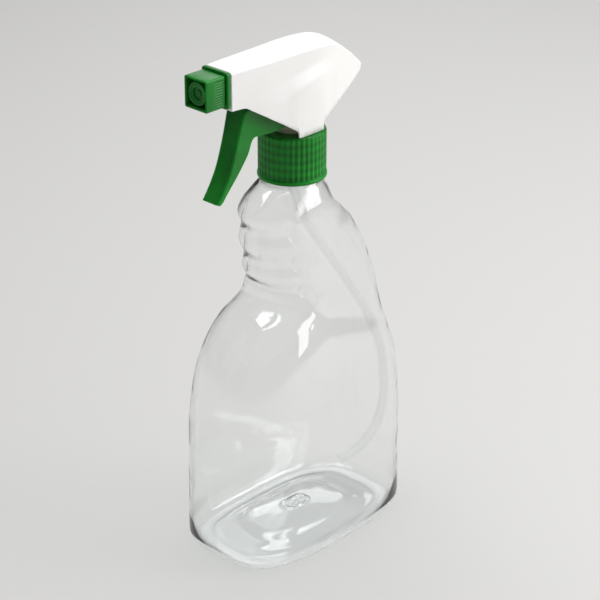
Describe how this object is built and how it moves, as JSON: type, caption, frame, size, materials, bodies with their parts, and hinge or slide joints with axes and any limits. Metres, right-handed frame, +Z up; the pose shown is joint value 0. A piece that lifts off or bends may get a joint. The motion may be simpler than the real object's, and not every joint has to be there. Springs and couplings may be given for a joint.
{
  "type": "trigger spray bottle",
  "caption": "Clear one-litre bottle with finger grooves, screw closure and a lever pump head with a turning square nozzle.",
  "frame": {"origin": "on the surface the bottle stands on, at the middle of the object's box, under the neck's axis", "axes": "+Z up along the neck, -X the way it sprays, +Y to its side"},
  "size_m": [0.1299, 0.0752, 0.274],
  "materials": {
    "clear_pet": "clear, thin, glossy blown wall",
    "green_pp": "moulded, satin gloss",
    "white_pp": "moulded, soft gloss",
    "cream_pp": "moulded, dull",
    "natural_pe": "extruded or moulded, milky",
    "soft_pe": "soft sealing grade",
    "steel": "drawn stainless wire and polished ball"
  },
  "bodies": {
    "bottle": {"bottle": "clear_pet"},
    "head": {"pump_body": "cream_pp", "body_plug": "cream_pp", "ball_seat": "natural_pe", "dip_tube": "natural_pe", "shroud": "white_pp", "bottle_gasket": "soft_pe", "spinner": "natural_pe", "discharge_spring": "steel", "return_spring": "steel"},
    "closure": {"closure_cap": "green_pp"},
    "trigger": {"trigger": "green_pp"},
    "piston": {"piston": "natural_pe", "piston_cup": "soft_pe"},
    "nozzle": {"nozzle": "green_pp", "orifice_disc": "green_pp", "nozzle_seal": "soft_pe"},
    "inlet_ball": {"inlet_ball": "steel"},
    "discharge_disc": {"discharge_disc": "natural_pe"}
  },
  "joints": [
    {"name": "head_lift", "type": "slide", "parent": "bottle", "child": "head", "axis": [0, 0, 1], "range_m": [0, 0.00636]},
    {"name": "closure_turn", "type": "hinge", "parent": "head", "child": "closure", "pos_m": [0, 0, 0.204], "axis": [0, 0, 1], "range_deg": [0, 540]},
    {"name": "trigger_squeeze", "type": "hinge", "parent": "head", "child": "trigger", "pos_m": [-0.02, 0, 0.257], "axis": [0, -1, 0], "range_deg": [0, 22], "stiffness_Nm_per_rad": 0.5, "springref_deg": -8.59},
    {"name": "piston_stroke", "type": "slide", "parent": "head", "child": "piston", "axis": [1, 0, 0], "range_m": [0, 0.0063], "deforming": ["return_spring"]},
    {"name": "nozzle_turn", "type": "hinge", "parent": "head", "child": "nozzle", "pos_m": [-0.056, 0, 0.2638], "axis": [-1, 0, 0], "continuous": true},
    {"name": "inlet_ball_lift", "type": "slide", "parent": "head", "child": "inlet_ball", "axis": [0, 0, 1], "range_m": [0, 0.0012]},
    {"name": "discharge_lift", "type": "slide", "parent": "head", "child": "discharge_disc", "axis": [-1, 0, 0], "range_m": [0, 0.0008], "stiffness_N_per_m": 50, "springref_m": -0.001, "deforming": ["discharge_spring"]}
  ],
  "couplings": [
    {"joint": "closure_turn", "follows": "head_lift", "rad_per_m": 1481.9},
    {"joint": "piston_stroke", "follows": "trigger_squeeze", "m_per_rad": 0.016}
  ]
}
